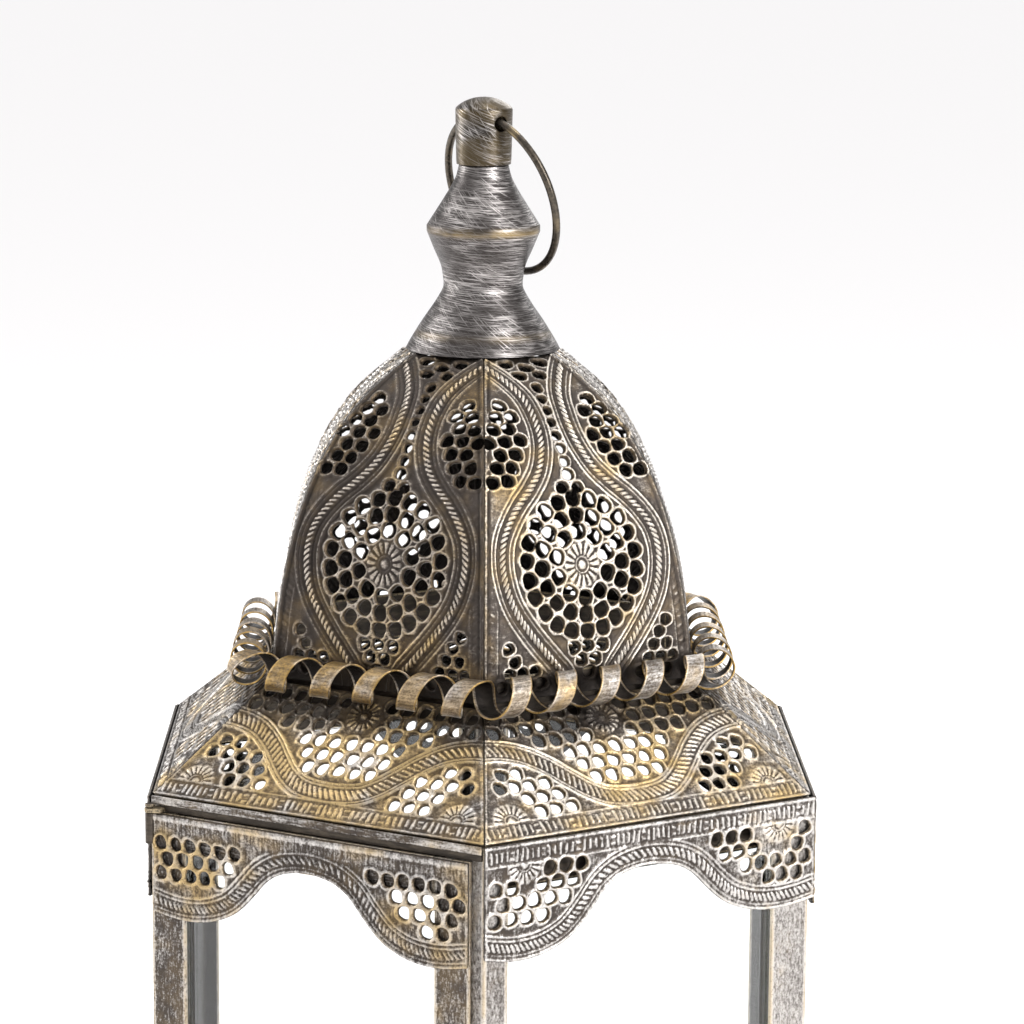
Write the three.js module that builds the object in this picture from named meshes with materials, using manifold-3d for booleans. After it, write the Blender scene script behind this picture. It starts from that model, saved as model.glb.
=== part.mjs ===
// Hexagonal pierced-metal candle lantern with a hinged glass door, an onion dome and a carrying ring.
// Millimetres, +Z up, origin on the ground at the centre of the base. The door faces -Y.
import * as THREE from 'three';
import { mergeVertices } from 'three/addons/utils/BufferGeometryUtils.js';
import Module from 'manifold-3d';

const wasm = await Module();
wasm.setup();

// ---- driving dimensions ----
const gap = 0.3; // clearance between neighbouring pieces
const sheet = 1.0; // pierced panels
const strip = 1.2; // posts, rails and frames
const glass = 1.6;

const bodyRadius = 110; // across the corners of the post box, to one side
const eaveHeight = 282;
const eaveRadius = 110.2;
const domeFoot = { radius: 71.2, height: eaveHeight + 30.6 };
const domeTop = { radius: 23.4, height: eaveHeight + 122.8 };
const baseTop = { radius: 111.9, height: 52 };
const baseFoot = { radius: 127.4, height: 11.5 };
const rimHeight = 11;
const rimFlange = 7;

const postFoot = 46;
const postTop = eaveHeight - 0.8;
const leftFlange = 12.5; // post flange on the face to the left of the corner
const rightFlange = 7.6;
const railHeight = 13;
const sillTop = 57;
const floorHeight = 47;

const valanceHeight = 33.8;
const valanceApex = 12.4;
const doorTop = eaveHeight - 4.8;
const doorFoot = 60;
const doorLeft = -55;
const doorRight = 51.3;
const stileWidth = 11.4;

const hingeAxis = { x: -54.4, y: -98.25 };
const knuckleRadius = 1.4;
const knuckleHeight = 9;
const pinRadius = 0.6;

const coilRadius = 79.1; // hexagon through the coil's middle
const coilHeight = eaveHeight + 33.8;
const coilLoop = 5.6; // outer radius of one loop of the ribbon
const coilTurns = 32;
const ribbonWidth = 6.5;
const ribbonThickness = 0.5;

const neckRadius = 8.5;
const neckFoot = eaveHeight + 178;
const neckTop = eaveHeight + 194.6;
const finialTop = eaveHeight + 198;
const skirtFoot = eaveHeight + 123.3;
const waist = eaveHeight + 143;

const ringRadius = 24.5;
const ringWire = 1.15;
const ringPivot = eaveHeight + 190.4;
const ringAzimuth = -23; // direction of the cross-hole, in degrees from +X
const ringLean = 17.5; // from hanging straight down
const ringOffset = 22.7; // from the pivot line to the ring's centre
const ringHole = 2.3;

const hookPivot = { x: 42.2, z: 152 };
const keeperX = 53.2;

// ---- helpers ----
const degrees = Math.PI / 180;
const cosFace = Math.cos(30 * degrees);
const tanFace = Math.tan(30 * degrees);
const bodyApothem = bodyRadius * cosFace;
const railOuter = bodyApothem - strip - 2 * gap;
const doorInner = bodyApothem + gap;
const doorOuter = doorInner + strip;

const lantern = new THREE.Group();

const finishes = {
  silver: { color: 0x857d74, roughness: 0.45, metalness: 0.85 },
  brass: { color: 0x9c8350, roughness: 0.42, metalness: 0.85 },
  dark: { color: 0x544c45, roughness: 0.5, metalness: 0.85 },
  wire: { color: 0x5d5142, roughness: 0.4, metalness: 0.9 },
  clear: { color: 0xdfe9e6, roughness: 0.05, metalness: 0 },
};

function piece(name, geometry, finish, parent = lantern) {
  const mesh = new THREE.Mesh(geometry, new THREE.MeshStandardMaterial(finishes[finish]));
  mesh.name = name;
  parent.add(mesh);
  return mesh;
}

// A frame on one face of the hexagon: x runs to the right along the face, y up and z outward.
function faceFrame(face) {
  const turned = new THREE.Group();
  turned.rotation.z = face * 60 * degrees;
  const upright = new THREE.Group();
  upright.rotation.x = 90 * degrees;
  turned.add(upright);
  lantern.add(turned);
  return upright;
}

function outline(points) {
  return new THREE.Shape(points.map(([x, y]) => new THREE.Vector2(x, y)));
}

function rectangle(x0, x1, y0, y1) {
  return outline([[x0, y0], [x1, y0], [x1, y1], [x0, y1]]);
}

function plate(shape, depth, offset = 0, curveSegments = 6) {
  const geometry = new THREE.ExtrudeGeometry(shape, { depth, bevelEnabled: false, curveSegments });
  geometry.translate(0, 0, offset);
  return geometry;
}

function solidOf(geometry) {
  const bare = geometry.clone();
  bare.deleteAttribute('normal');
  bare.deleteAttribute('uv');
  const merged = mergeVertices(bare);
  const vertProperties = new Float32Array(merged.attributes.position.array);
  const triVerts = new Uint32Array(merged.index.array);
  return new wasm.Manifold(new wasm.Mesh({ numProp: 3, vertProperties, triVerts }));
}

function geometryOf(solid) {
  const mesh = solid.getMesh();
  const geometry = new THREE.BufferGeometry();
  geometry.setAttribute('position', new THREE.BufferAttribute(new Float32Array(mesh.vertProperties), 3));
  geometry.setIndex(new THREE.BufferAttribute(new Uint32Array(mesh.triVerts), 1));
  return geometry;
}

// A turned piece about the vertical axis from a profile of [radius, height] points.
function turned(profile, segments) {
  const points = profile.map(([radius, height]) => new THREE.Vector2(radius, height));
  const geometry = new THREE.LatheGeometry(points, segments, segments === 6 ? 30 * degrees : 0);
  geometry.rotateX(90 * degrees);
  return geometry;
}

// A hexagonal ring with an upright rectangular section, given by its outer apothem.
function hexBand(outerApothem, thickness, foot, height) {
  const outer = outerApothem / cosFace;
  const inner = (outerApothem - thickness) / cosFace;
  const top = foot + height;
  const profile = [[inner, foot], [outer, foot], [outer, top], [inner, top], [inner, foot]];
  return turned(profile, 6);
}

// A sheet between two corner edges of the hexagon: stations of { radius, height } run upward.
function mitredPanel(stations, thickness) {
  const outer = stations.map(({ radius, height }) => new THREE.Vector2(radius * cosFace, height));
  const inner = outer.map((point, i) => {
    const before = outer[Math.max(i - 1, 0)];
    const after = outer[Math.min(i + 1, outer.length - 1)];
    const along = after.clone().sub(before).normalize();
    return new THREE.Vector2(point.x - along.y * thickness, point.y + along.x * thickness);
  });
  const vertices = [];
  outer.forEach((out, i) => {
    for (const { x: away, y: up } of [out, inner[i]]) {
      const half = away * tanFace - gap / 2;
      vertices.push(-half, up, away, half, up, away);
    }
  });
  const index = [];
  const quad = (a, b, c, d) => index.push(a, b, c, a, c, d);
  const [outLeft, outRight, inLeft, inRight] = [0, 1, 2, 3];
  const last = 4 * (outer.length - 1);
  for (let low = 0; low < last; low += 4) {
    const high = low + 4;
    quad(low + outLeft, low + outRight, high + outRight, high + outLeft);
    quad(low + inRight, low + inLeft, high + inLeft, high + inRight);
    quad(low + outRight, low + inRight, high + inRight, high + outRight);
    quad(low + inLeft, low + outLeft, high + outLeft, high + inLeft);
  }
  quad(inLeft, inRight, outRight, outLeft);
  quad(last + outLeft, last + outRight, last + inRight, last + inLeft);
  const geometry = new THREE.BufferGeometry();
  geometry.setAttribute('position', new THREE.Float32BufferAttribute(vertices, 3));
  geometry.setIndex(index);
  geometry.computeVertexNormals();
  return geometry;
}

// ---- roof: dome, coil and shoulders ----
function addDome() {
  const edge = new THREE.CubicBezierCurve(
    new THREE.Vector2(domeFoot.radius, domeFoot.height),
    new THREE.Vector2(67.6, eaveHeight + 76),
    new THREE.Vector2(56.5, eaveHeight + 105),
    new THREE.Vector2(domeTop.radius, domeTop.height),
  );
  const stations = edge.getPoints(9).map(({ x: radius, y: height }) => ({ radius, height }));
  for (let face = 0; face < 6; face++) {
    piece(`dome_panel_${face + 1}`, mitredPanel(stations, sheet), 'silver', faceFrame(face));
  }
  const collarApothem = 59.4;
  piece('dome_collar', hexBand(collarApothem, strip, eaveHeight + 23, 14), 'dark');
}

function addShoulders() {
  const stations = [
    { radius: eaveRadius, height: eaveHeight + gap },
    { radius: 71.8, height: eaveHeight + 29.4 },
  ];
  for (let face = 0; face < 6; face++) {
    piece(`shoulder_panel_${face + 1}`, mitredPanel(stations, sheet), 'brass', faceFrame(face));
  }
}

// The middle line of the coil: a hexagon with rounded corners, with its outward direction.
function coilPath(share) {
  const rounding = 7;
  const apothem = coilRadius * cosFace;
  const straight = 2 * (coilRadius / 2 - rounding * tanFace);
  const bend = rounding * 60 * degrees;
  const along = share * 6 * (straight + bend);
  const side = Math.floor(along / (straight + bend));
  const rest = along - side * (straight + bend);
  const turn = Math.max(rest - straight, 0) / rounding;
  const facing = (side * 60 - 90) * degrees;
  const outward = new THREE.Vector3(Math.cos(facing + turn), Math.sin(facing + turn), 0);
  const onward = new THREE.Vector3(-outward.y, outward.x, 0);
  const middle = new THREE.Vector3(Math.cos(facing), Math.sin(facing), 0).multiplyScalar(apothem - rounding);
  const slide = Math.min(rest, straight) - straight / 2;
  middle.addScaledVector(new THREE.Vector3(-Math.sin(facing), Math.cos(facing), 0), slide);
  middle.addScaledVector(outward, rounding);
  middle.z = coilHeight;
  return { middle, outward, onward };
}

function addCoil() {
  const stepsPerTurn = 11;
  const steps = coilTurns * stepsPerTurn;
  const vertices = [];
  const index = [];
  for (let step = 0; step < steps; step++) {
    const { middle, outward, onward } = coilPath(step / steps);
    const angle = (2 * Math.PI * step) / stepsPerTurn;
    const radial = outward.clone().multiplyScalar(Math.cos(angle));
    radial.z = Math.sin(angle);
    const corners = [[0, -1], [0, 1], [1, 1], [1, -1]];
    for (const [outer, side] of corners) {
      const reach = coilLoop - ribbonThickness * (1 - outer);
      const point = middle.clone().addScaledVector(radial, reach);
      point.addScaledVector(onward, (side * ribbonWidth) / 2);
      vertices.push(point.x, point.y, point.z);
    }
    const next = ((step + 1) % steps) * 4;
    for (let corner = 0; corner < 4; corner++) {
      const [a, b] = [step * 4 + corner, step * 4 + ((corner + 1) % 4)];
      const [c, d] = [next + ((corner + 1) % 4), next + corner];
      index.push(a, c, b, a, d, c);
    }
  }
  const geometry = new THREE.BufferGeometry();
  geometry.setAttribute('position', new THREE.Float32BufferAttribute(vertices, 3));
  geometry.setIndex(index);
  geometry.computeVertexNormals();
  piece('coil_garland', geometry, 'brass');
}

// ---- finial and carrying ring ----
function addFinial() {
  const wall = 1.2;
  const shell = (outer) => {
    const inner = outer.map(([radius, height]) => [radius - wall, height]).reverse();
    return turned([...outer, ...inner, outer[0]], 24);
  };
  const skirt = [
    [23, skirtFoot],
    [21.6, eaveHeight + 125.9],
    [18.2, eaveHeight + 131.4],
    [14.5, eaveHeight + 136.8],
    [12.1, eaveHeight + 141],
    [11.8, waist],
  ];
  piece('finial_skirt', shell(skirt), 'silver');
  const doubleCone = [
    [11.8, waist + gap],
    [12.6, eaveHeight + 148],
    [16.9, eaveHeight + 158.4],
    [16.9, eaveHeight + 160],
    [12.2, eaveHeight + 167.4],
    [8.3, eaveHeight + 174.4],
    [7.4, neckFoot - gap],
  ];
  piece('finial_body', shell(doubleCone), 'silver');

  const neckProfile = [
    [neckRadius - wall, neckFoot],
    [neckRadius, neckFoot],
    [neckRadius, neckTop],
    [neckRadius * 0.62, finialTop - 0.7],
    [0, finialTop],
    [0, neckTop - wall],
    [neckRadius - wall, neckTop - wall],
    [neckRadius - wall, neckFoot],
  ];
  const drill = new THREE.CylinderGeometry(ringHole, ringHole, 3 * neckRadius, 12);
  drill.rotateZ(90 * degrees);
  drill.rotateZ(ringAzimuth * degrees);
  drill.translate(0, 0, ringPivot);
  const neck = solidOf(turned(neckProfile, 24)).subtract(solidOf(drill));
  piece('finial_neck', geometryOf(neck), 'silver');
}

function addCarryRing() {
  const pivot = new THREE.Group();
  pivot.position.z = ringPivot;
  pivot.rotation.order = 'ZYX';
  pivot.rotation.z = ringAzimuth * degrees;
  pivot.rotation.x = (90 + ringLean) * degrees;
  lantern.add(pivot);
  const ring = piece('carry_ring', new THREE.TorusGeometry(ringRadius, ringWire, 8, 36), 'wire', pivot);
  ring.position.y = -ringOffset;
}

// ---- glass box: posts, rails, valances and panes ----
function addPosts() {
  const corner = new THREE.Vector2(bodyRadius / 2, -bodyApothem);
  const inside = corner.clone().multiplyScalar(1 - strip / bodyApothem);
  const onward = new THREE.Vector2(0.5, cosFace);
  const inward = new THREE.Vector2(-cosFace, 0.5);
  const rightTip = corner.clone().addScaledVector(onward, rightFlange);
  const rightBack = rightTip.clone().addScaledVector(inward, strip);
  const leftEdge = corner.x - leftFlange;
  const section = outline([
    [leftEdge, corner.y],
    [corner.x, corner.y],
    [rightTip.x, rightTip.y],
    [rightBack.x, rightBack.y],
    [inside.x, inside.y],
    [leftEdge, corner.y + strip],
  ]);
  for (let corners = 0; corners < 6; corners++) {
    const turnedCorner = new THREE.Group();
    turnedCorner.rotation.z = corners * 60 * degrees;
    lantern.add(turnedCorner);
    const post = plate(section, postTop - postFoot, postFoot);
    piece(`corner_post_${corners + 1}`, post, 'silver', turnedCorner);
  }
  const headerFoot = eaveHeight - 2 * gap - railHeight;
  piece('header_rail', hexBand(railOuter, strip, headerFoot, railHeight), 'dark');
  piece('sill_rail', hexBand(railOuter, strip, postFoot, sillTop - postFoot), 'dark');
}

// The lower edge of a valance hangs in a lobe at each end and rises to an arch in the middle.
function valanceShape(left, right, top) {
  const middle = (left + right) / 2;
  const half = (right - left) / 2;
  const lobe = [
    [1, 0.95],
    [0.76, 1],
    [0.5, 0.89],
    [0.34, 0.645],
    [0.17, 0.425],
    [0, valanceApex / valanceHeight],
  ];
  const rightSide = lobe.map(([x, y]) => new THREE.Vector2(middle + x * half, top - y * valanceHeight));
  const leftSide = lobe.map(([x, y]) => new THREE.Vector2(middle - x * half, top - y * valanceHeight));
  const edge = new THREE.SplineCurve([...rightSide, ...leftSide.reverse().slice(1)]);
  const shape = new THREE.Shape();
  shape.moveTo(left, top);
  shape.lineTo(left, leftSide[leftSide.length - 1].y);
  const points = edge.getPoints(26).reverse();
  points.slice(1).forEach((point) => shape.lineTo(point.x, point.y));
  shape.lineTo(right, top);
  return shape;
}

function addFixedFaces() {
  const valanceHalf = doorInner * tanFace - gap;
  const valanceTop = eaveHeight - 2 * gap;
  const paneTop = eaveHeight - 3 * gap - railHeight;
  const paneHalf = (railOuter - glass) * tanFace - 1;
  for (let face = 1; face < 6; face++) {
    const frame = faceFrame(face);
    const valance = valanceShape(-valanceHalf, valanceHalf, valanceTop);
    piece(`valance_${face}`, plate(valance, strip, doorInner, 1), 'brass', frame);
    const paneFoot = sillTop + gap;
    const pane = rectangle(-paneHalf, paneHalf, paneFoot, paneTop);
    piece(`glass_pane_${face}`, plate(pane, glass, railOuter - glass), 'clear', frame);
  }
}

// ---- door: stiles, rails, valance, pane, hinges and hook ----
function block(x0, x1, y0, y1, z0, z1) {
  const geometry = new THREE.BoxGeometry(x1 - x0, y1 - y0, z1 - z0);
  geometry.translate((x0 + x1) / 2, (y0 + y1) / 2, (z0 + z1) / 2);
  return geometry;
}

// A knuckle round the hinge axis with the tab that joins it to the door's outer face.
function knuckle(foot, tabEnd) {
  const outerFace = -(doorOuter + gap);
  const tab = block(hingeAxis.x, tabEnd, outerFace - 0.9, outerFace, foot, foot + knuckleHeight);
  const barrel = solidOf(rodOnHinge(knuckleRadius, knuckleHeight, foot));
  const bore = solidOf(rodOnHinge(pinRadius + gap, knuckleHeight + 2, foot - 1));
  return barrel.add(solidOf(tab)).subtract(bore);
}

function rodOnHinge(radius, height, foot) {
  const geometry = new THREE.CylinderGeometry(radius, radius, height, 12);
  geometry.rotateX(90 * degrees);
  geometry.translate(hingeAxis.x, hingeAxis.y, foot + height / 2);
  return geometry;
}

function addDoorFrame() {
  const frame = faceFrame(0);
  const slab = (x0, x1, y0, y1) => plate(rectangle(x0, x1, y0, y1), strip, doorInner);
  piece('door_stile_hinge', slab(doorLeft, doorLeft + stileWidth, doorFoot, doorTop), 'silver', frame);
  piece('door_stile_latch', slab(doorRight - stileWidth, doorRight, doorFoot, doorTop), 'silver', frame);
  const railLeft = doorLeft + stileWidth + gap;
  const railRight = doorRight - stileWidth - gap;
  piece('door_rail_top', slab(railLeft, railRight, doorTop - stileWidth, doorTop), 'silver', frame);
  piece('door_rail_foot', slab(railLeft, railRight, doorFoot, doorFoot + stileWidth), 'silver', frame);

  const paneLeft = -bodyRadius / 2 + rightFlange + 1;
  const paneRight = bodyRadius / 2 - leftFlange - 1;
  const paneFoot = doorFoot + 4;
  const paneTop = doorTop - 4;
  const pane = rectangle(paneLeft, paneRight, paneFoot, paneTop);
  piece('door_glass', plate(pane, glass, doorInner - gap - glass), 'clear', frame);
}

function addDoorValanceAndHinges() {
  const valanceLeft = doorLeft + 1.8;
  const valance = plate(valanceShape(valanceLeft, doorRight + gap, doorTop), strip, doorOuter + gap, 1);
  valance.rotateX(90 * degrees);
  const upperFoot = doorTop - knuckleHeight;
  const rolled = solidOf(valance).add(knuckle(upperFoot, valanceLeft + 1));
  piece('door_valance', geometryOf(rolled), 'brass');

  const lowerFoot = doorFoot;
  piece('door_hinge_leaf', geometryOf(knuckle(lowerFoot, doorLeft + stileWidth - 2)), 'dark');
  addPivot('upper', upperFoot, upperFoot + knuckleHeight + gap, 1);
  addPivot('lower', lowerFoot, lowerFoot - gap - strip, -1);
}

// A fixed ear on the corner post and the pin that joins it to one knuckle of the door.
function addPivot(level, knuckleFoot, earFoot, side) {
  const ear = new THREE.Shape();
  const reach = bodyApothem + gap;
  ear.absarc(hingeAxis.x, hingeAxis.y, knuckleRadius + 0.2, 75 * degrees, 300 * degrees, false);
  ear.lineTo(-50.6, -98.4);
  ear.lineTo(-50.6, -reach);
  ear.lineTo(-54.2, -reach);
  const bore = new THREE.Path();
  bore.absarc(hingeAxis.x, hingeAxis.y, pinRadius + gap, 0, 2 * Math.PI, true);
  ear.holes.push(bore);
  piece(`hinge_ear_${level}`, plate(ear, strip, earFoot), 'dark');

  const headRadius = pinRadius + 0.8;
  const headFace = side > 0 ? earFoot + strip + gap : earFoot - gap;
  const tip = side > 0 ? knuckleFoot + 1 : knuckleFoot + knuckleHeight - 1;
  const profile = [[0, tip], [pinRadius, tip], [pinRadius, headFace], [headRadius, headFace]];
  profile.push([headRadius, headFace + side], [0, headFace + side]);
  const pin = turned(side > 0 ? profile : profile.reverse(), 12);
  pin.translate(hingeAxis.x, hingeAxis.y, 0);
  piece(`hinge_pin_${level}`, pin, 'dark');
}

function addHook() {
  const frame = faceFrame(0);
  const reach = keeperX - hookPivot.x;
  const seat = 1.5;
  const hookFoot = doorOuter + gap;
  const hook = new THREE.Shape();
  hook.absarc(0, 0, 2.6, 80 * degrees, 280 * degrees, false);
  hook.lineTo(reach - seat, -2.2);
  hook.lineTo(reach - seat, 0);
  hook.absarc(reach, 0, seat, Math.PI, 0, true);
  hook.lineTo(reach + seat, -2.2);
  hook.lineTo(reach + seat + 1.6, -2.2);
  hook.lineTo(reach + seat + 2.2, 3.8);
  hook.lineTo(reach + seat, 3.4);
  const bore = new THREE.Path();
  bore.absarc(0, 0, 1.3, 0, 2 * Math.PI, true);
  hook.holes.push(bore);
  const hookMesh = piece('door_hook', plate(hook, 1, 0, 10), 'dark', frame);
  hookMesh.position.set(hookPivot.x, hookPivot.z, hookFoot);

  const headFoot = hookFoot + 1 + gap;
  const shaft = [[0, hookFoot], [1, hookFoot], [1, headFoot]];
  const head = [[2.3, headFoot], [1.6, headFoot + 1], [0, headFoot + 1.2]];
  const rivet = turned([...shaft, ...head], 12);
  rivet.rotateX(90 * degrees);
  const rivetMesh = piece('hook_rivet', rivet, 'silver');
  rivetMesh.position.set(hookPivot.x, 0, hookPivot.z);

  const keeper = new THREE.CylinderGeometry(1.1, 1.1, 4.4, 12);
  const keeperMesh = piece('hook_keeper', keeper, 'dark');
  keeperMesh.position.set(keeperX, -(bodyApothem + gap + 2.2), hookPivot.z);
}

// ---- base: floor, candle cup, flared panels and rim ----
function addBase() {
  const floorRadius = (railOuter - strip - gap) / cosFace;
  const floorTop = floorHeight + strip;
  const floorProfile = [[0, floorHeight], [floorRadius, floorHeight], [floorRadius, floorTop], [0, floorTop]];
  piece('floor_plate', turned(floorProfile, 6), 'dark');

  const cupFoot = floorTop + gap;
  const cup = { radius: 40, wall: 1.2, height: 9 };
  const cupProfile = [
    [0, cupFoot],
    [cup.radius - 3, cupFoot],
    [cup.radius, cupFoot + cup.height],
    [cup.radius - cup.wall, cupFoot + cup.height],
    [cup.radius - 3 - cup.wall, cupFoot + cup.wall],
    [0, cupFoot + cup.wall],
  ];
  piece('candle_cup', turned(cupProfile, 32), 'dark');

  for (let face = 0; face < 6; face++) {
    piece(`base_panel_${face + 1}`, mitredPanel([baseFoot, baseTop], sheet), 'brass', faceFrame(face));
  }

  const rimOuter = baseFoot.radius;
  const wall = strip / cosFace;
  const rimProfile = [
    [rimOuter - rimFlange, 0],
    [rimOuter, 0],
    [rimOuter, rimHeight],
    [rimOuter - wall, rimHeight],
    [rimOuter - wall, strip],
    [rimOuter - rimFlange, strip],
    [rimOuter - rimFlange, 0],
  ];
  piece('base_rim', turned(rimProfile, 6), 'silver');
}

addDome();
addShoulders();
addCoil();
addFinial();
addCarryRing();
addPosts();
addFixedFaces();
addDoorFrame();
addDoorValanceAndHinges();
addHook();
addBase();

export default lantern;
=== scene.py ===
"""Looks for a hexagonal pierced-metal candle lantern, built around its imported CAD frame."""

import math
import random

import bmesh
import bpy
import numpy as np
from mathutils import Matrix, Vector


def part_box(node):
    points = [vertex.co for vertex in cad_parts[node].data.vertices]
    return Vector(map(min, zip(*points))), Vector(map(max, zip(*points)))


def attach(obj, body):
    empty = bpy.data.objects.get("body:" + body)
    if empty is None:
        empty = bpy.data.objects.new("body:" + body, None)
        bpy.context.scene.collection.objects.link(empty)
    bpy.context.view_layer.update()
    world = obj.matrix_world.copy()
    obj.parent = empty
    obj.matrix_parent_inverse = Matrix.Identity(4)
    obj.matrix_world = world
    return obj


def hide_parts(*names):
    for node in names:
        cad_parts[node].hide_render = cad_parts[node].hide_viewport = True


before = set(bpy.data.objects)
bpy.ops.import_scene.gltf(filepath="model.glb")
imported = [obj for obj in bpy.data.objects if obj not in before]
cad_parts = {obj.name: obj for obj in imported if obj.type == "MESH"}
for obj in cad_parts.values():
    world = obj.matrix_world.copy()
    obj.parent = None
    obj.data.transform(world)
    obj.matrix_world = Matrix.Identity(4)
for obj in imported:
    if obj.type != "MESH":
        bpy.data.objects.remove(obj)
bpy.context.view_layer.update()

MM = 0.001
COS30 = math.cos(math.radians(30))
TAN30 = math.tan(math.radians(30))
LANTERN, DOOR, RING, HOOK = "lantern", "door", "ring", "hook"

# ---- sizes read from the frame, in millimetres ----


def low(node, axis):
    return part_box(node)[0]["xyz".index(axis)] / MM


def high(node, axis):
    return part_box(node)[1]["xyz".index(axis)] / MM


def center(node, axis):
    return (low(node, axis) + high(node, axis)) / 2


EAVE = low("shoulder_panel_1", "z") + 0.36
SHOULDER_FOOT = -low("shoulder_panel_1", "y")
SHOULDER_TOP_Z = high("shoulder_panel_1", "z")
DOME_FOOT = -low("dome_panel_1", "y")
DOME_FOOT_Z = low("dome_panel_1", "z")
DOME_TOP_Z = high("dome_panel_1", "z")
BASE_FOOT = -low("base_panel_1", "y")
BASE_FOOT_Z = low("base_panel_1", "z") + 0.36
BASE_TOP_Z = high("base_panel_1", "z")
BODY_RADIUS = high("corner_post_2", "x")
BODY_APOTHEM = BODY_RADIUS * COS30
DOOR_FACE = -low("door_stile_hinge", "y")


# ---- camera, light and floor ----
CAMERA_AZIMUTH = 29.366
CAMERA_DISTANCE = 1.0843
CAMERA_ABOVE_EAVE = 0.2755
CAMERA_PAN, CAMERA_DOWN, CAMERA_ROLL = -0.48, 10.56, 0.4
WHITE_SURROUND = 1.08
CEILING_HEIGHTS = (0.35, 0.75)
CEILING_GLOW = (0.40, 1.05)


def around(azimuth, distance, height):
    """A point in metres round the lantern; azimuth 0 is in front of the door."""
    angle = math.radians(azimuth)
    return (distance * math.sin(angle), -distance * math.cos(angle), height)


def make_camera():
    data = bpy.data.cameras.new("camera")
    data.sensor_width = 36
    data.lens = 128.6
    data.clip_start = 0.05
    data.clip_end = 50
    camera = bpy.data.objects.new("camera", data)
    bpy.context.scene.collection.objects.link(camera)
    camera.location = around(CAMERA_AZIMUTH, CAMERA_DISTANCE, EAVE * MM + CAMERA_ABOVE_EAVE)
    turn = Matrix.Rotation(math.radians(CAMERA_AZIMUTH + CAMERA_PAN), 4, "Z")
    tilt = Matrix.Rotation(math.radians(90 - CAMERA_DOWN), 4, "X")
    roll = Matrix.Rotation(math.radians(CAMERA_ROLL), 4, "Z")
    camera.rotation_euler = (turn @ tilt @ roll).to_euler()
    bpy.context.scene.camera = camera


def area_light(name, power, size, place, target):
    data = bpy.data.lights.new(name, "AREA")
    data.shape = "RECTANGLE"
    data.size, data.size_y = size
    data.energy = power
    light = bpy.data.objects.new(name, data)
    light.location = place
    aim = Vector(target) - Vector(place)
    light.rotation_euler = aim.to_track_quat("-Z", "Y").to_euler()
    bpy.context.scene.collection.objects.link(light)


def make_studio():
    """Soft boxes in a pale room. Gloss sees a dim room with a bright ceiling; all else sees it white."""
    room = Nodes(bpy.data.worlds.new("studio"), "Background")
    bpy.context.scene.world = room.owner
    direction = room.add("ShaderNodeTexCoord").outputs["Generated"]
    upward = room.add("ShaderNodeSeparateXYZ", {0: direction}).outputs["Z"]
    ray = room.add("ShaderNodeLightPath").outputs
    even = room.larger(ray["Is Camera Ray"], ray["Is Diffuse Ray"])
    glossy = room.step(upward, *CEILING_HEIGHTS, *CEILING_GLOW)
    strength = room.add("ShaderNodeMix", {0: even, 2: glossy, 3: WHITE_SURROUND}).outputs[0]
    room.feed(room.shader, {"Color": (1.0, 0.992, 0.996, 1), "Strength": strength})

    target = (0, 0, 0.34)
    area_light("key", 23, (0.4, 1.1), around(75, 1.5, 1.0), target)
    area_light("fill", 13, (0.3, 1.1), around(-78, 1.5, 0.7), target)
    area_light("top", 5, (0.5, 0.5), (0.1, 0.2, 1.7), target)
    area_light("back", 8, (0.8, 0.8), around(190, 1.6, 1.1), target)

    bpy.ops.mesh.primitive_plane_add(size=120, location=(0, 0, -0.0005))
    floor = bpy.context.object
    floor.name = "floor"
    paint = Nodes(bpy.data.materials.new("pale_floor"))
    paint.feed(paint.shader, {"Base Color": (0.93, 0.925, 0.925, 1), "Roughness": 0.9})
    floor.data.materials.append(paint.owner)
    bpy.context.scene.view_settings.view_transform = "Standard"


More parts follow.
